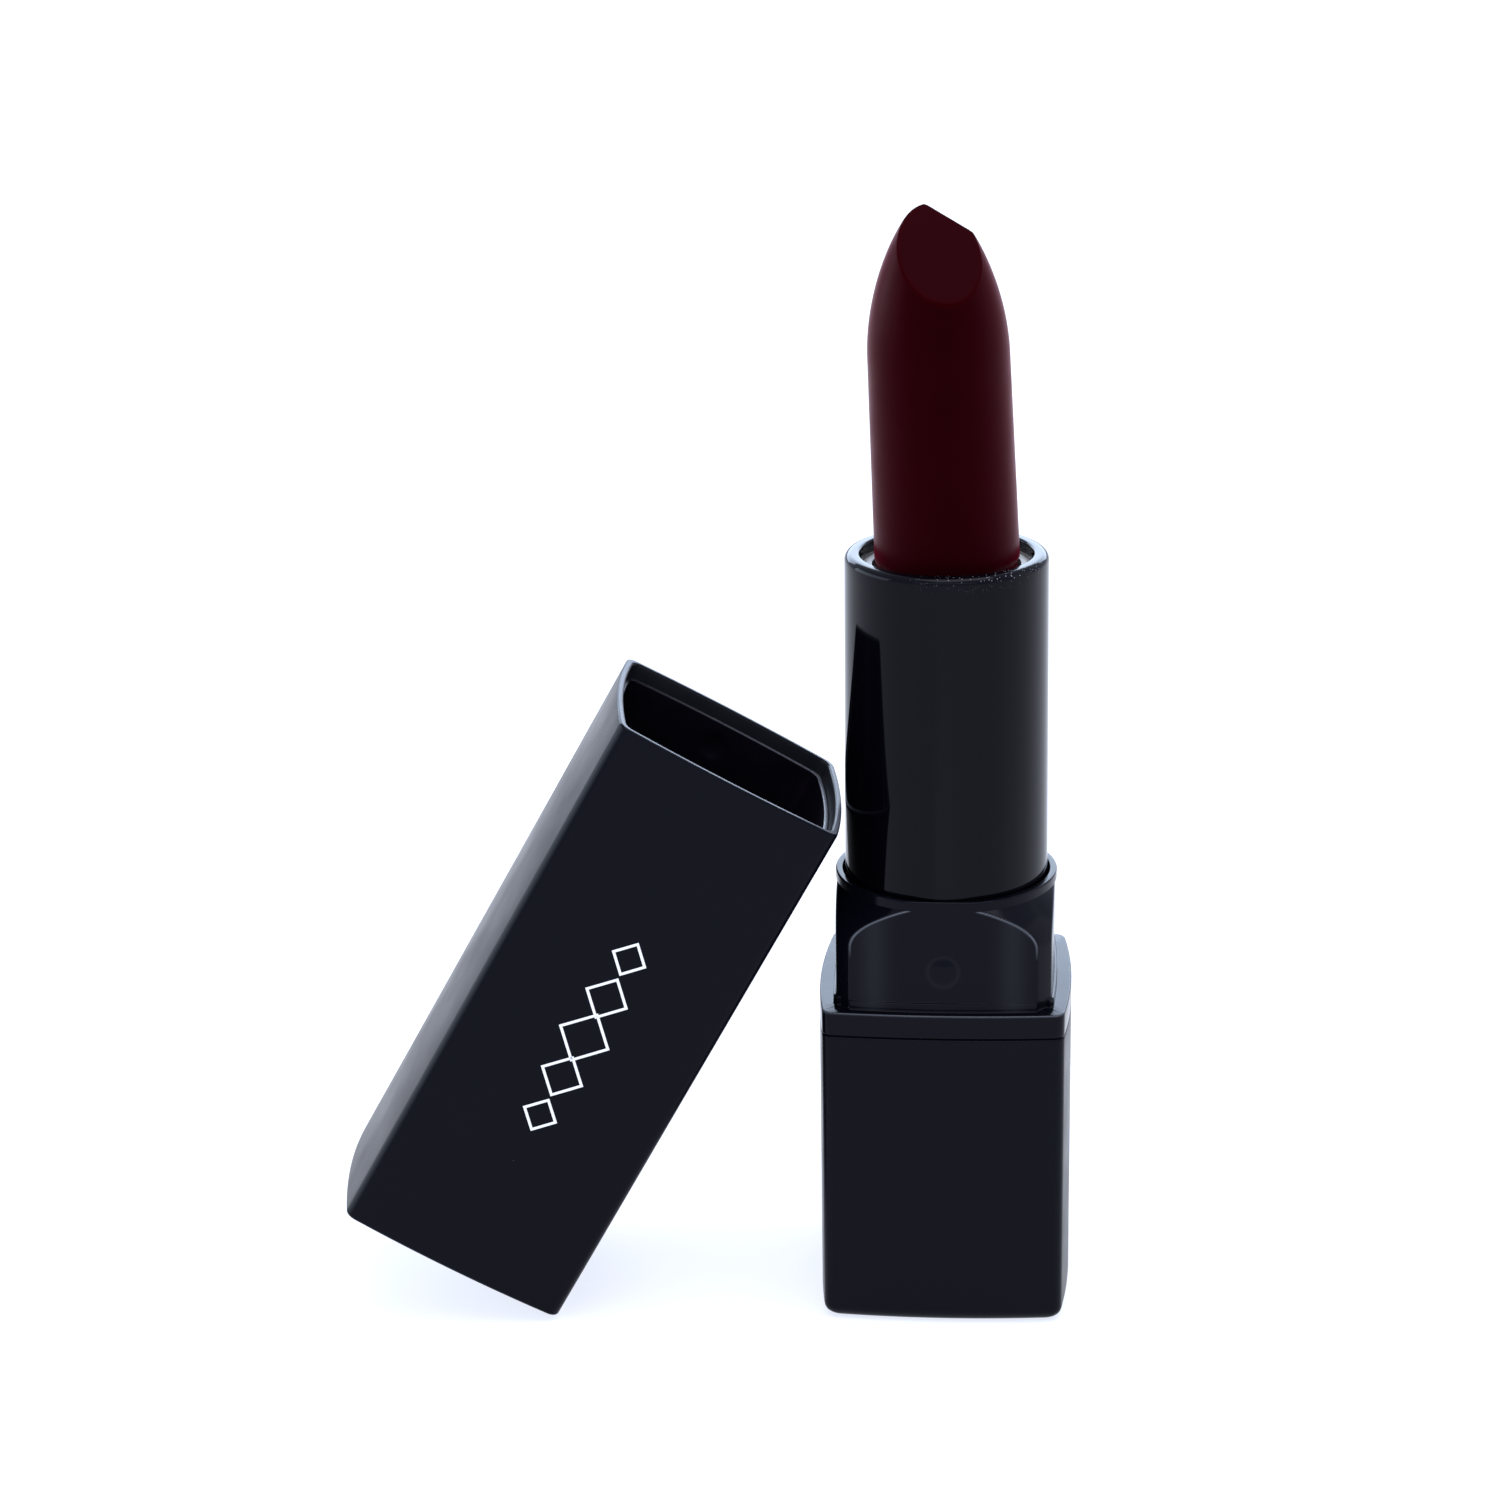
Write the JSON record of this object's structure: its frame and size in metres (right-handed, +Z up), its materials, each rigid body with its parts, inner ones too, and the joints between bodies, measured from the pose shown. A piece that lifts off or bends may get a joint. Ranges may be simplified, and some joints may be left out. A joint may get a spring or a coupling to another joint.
{
  "type": "lipstick case",
  "caption": "Square twist-up lipstick case with bowed dark faces, a snap collar, a round glossy sleeve, a raised slant-cut bullet and a separate cap that leans on the sleeve.",
  "frame": {"origin": "on the case's upright axis, at the flat underside of the base that it stands on", "axes": "+Z up along the sleeve and bullet, -Y towards the front of the case, +X to the right, away from the cap"},
  "size_m": [0.0629, 0.0228, 0.0946],
  "materials": {
    "shell_black": "very dark blue-black, satin gloss, fine moulded texture",
    "collar_black": "black, moulded semi-gloss",
    "sleeve_black": "black, polished",
    "moulded_grey": "natural acetal and ABS, as moulded",
    "weight_steel": "zinc plated slug",
    "white_print": "blank white label and plain white ornament, no text",
    "seal_rubber": "greased O-ring",
    "lip_wax": "deep maroon lipstick, satin and waxy"
  },
  "bodies": {
    "case": {"base_shell": "shell_black", "base_insert": "moulded_grey", "base_weight": "weight_steel", "shade_label": "white_print", "collar": "collar_black", "inner_body": "moulded_grey", "drag_ring": "seal_rubber"},
    "sleeve": {"sleeve": "sleeve_black", "spiral": "moulded_grey"},
    "carrier": {"cup": "moulded_grey", "bullet": "lip_wax"},
    "cap": {"cap_shell": "shell_black", "cap_liner": "collar_black"}
  },
  "joints": [
    {"name": "sleeve_twist", "type": "hinge", "parent": "case", "child": "sleeve", "pos_m": [0, 0, 0], "axis": [0, 0, 1], "range_deg": [0, 540]},
    {"name": "bullet_lift", "type": "slide", "parent": "case", "child": "carrier", "axis": [0, 0, -1], "range_m": [0, 0.0306]},
    {"name": "cap_tip", "type": "hinge", "parent": "case", "child": "cap", "pos_m": [-0.03335, -0.00175, 0], "axis": [0.0732, -0.9973, 0], "range_deg": [0, 29.4]}
  ],
  "couplings": [
    {"joint": "bullet_lift", "follows": "sleeve_twist", "m_per_rad": 0.0032468}
  ]
}
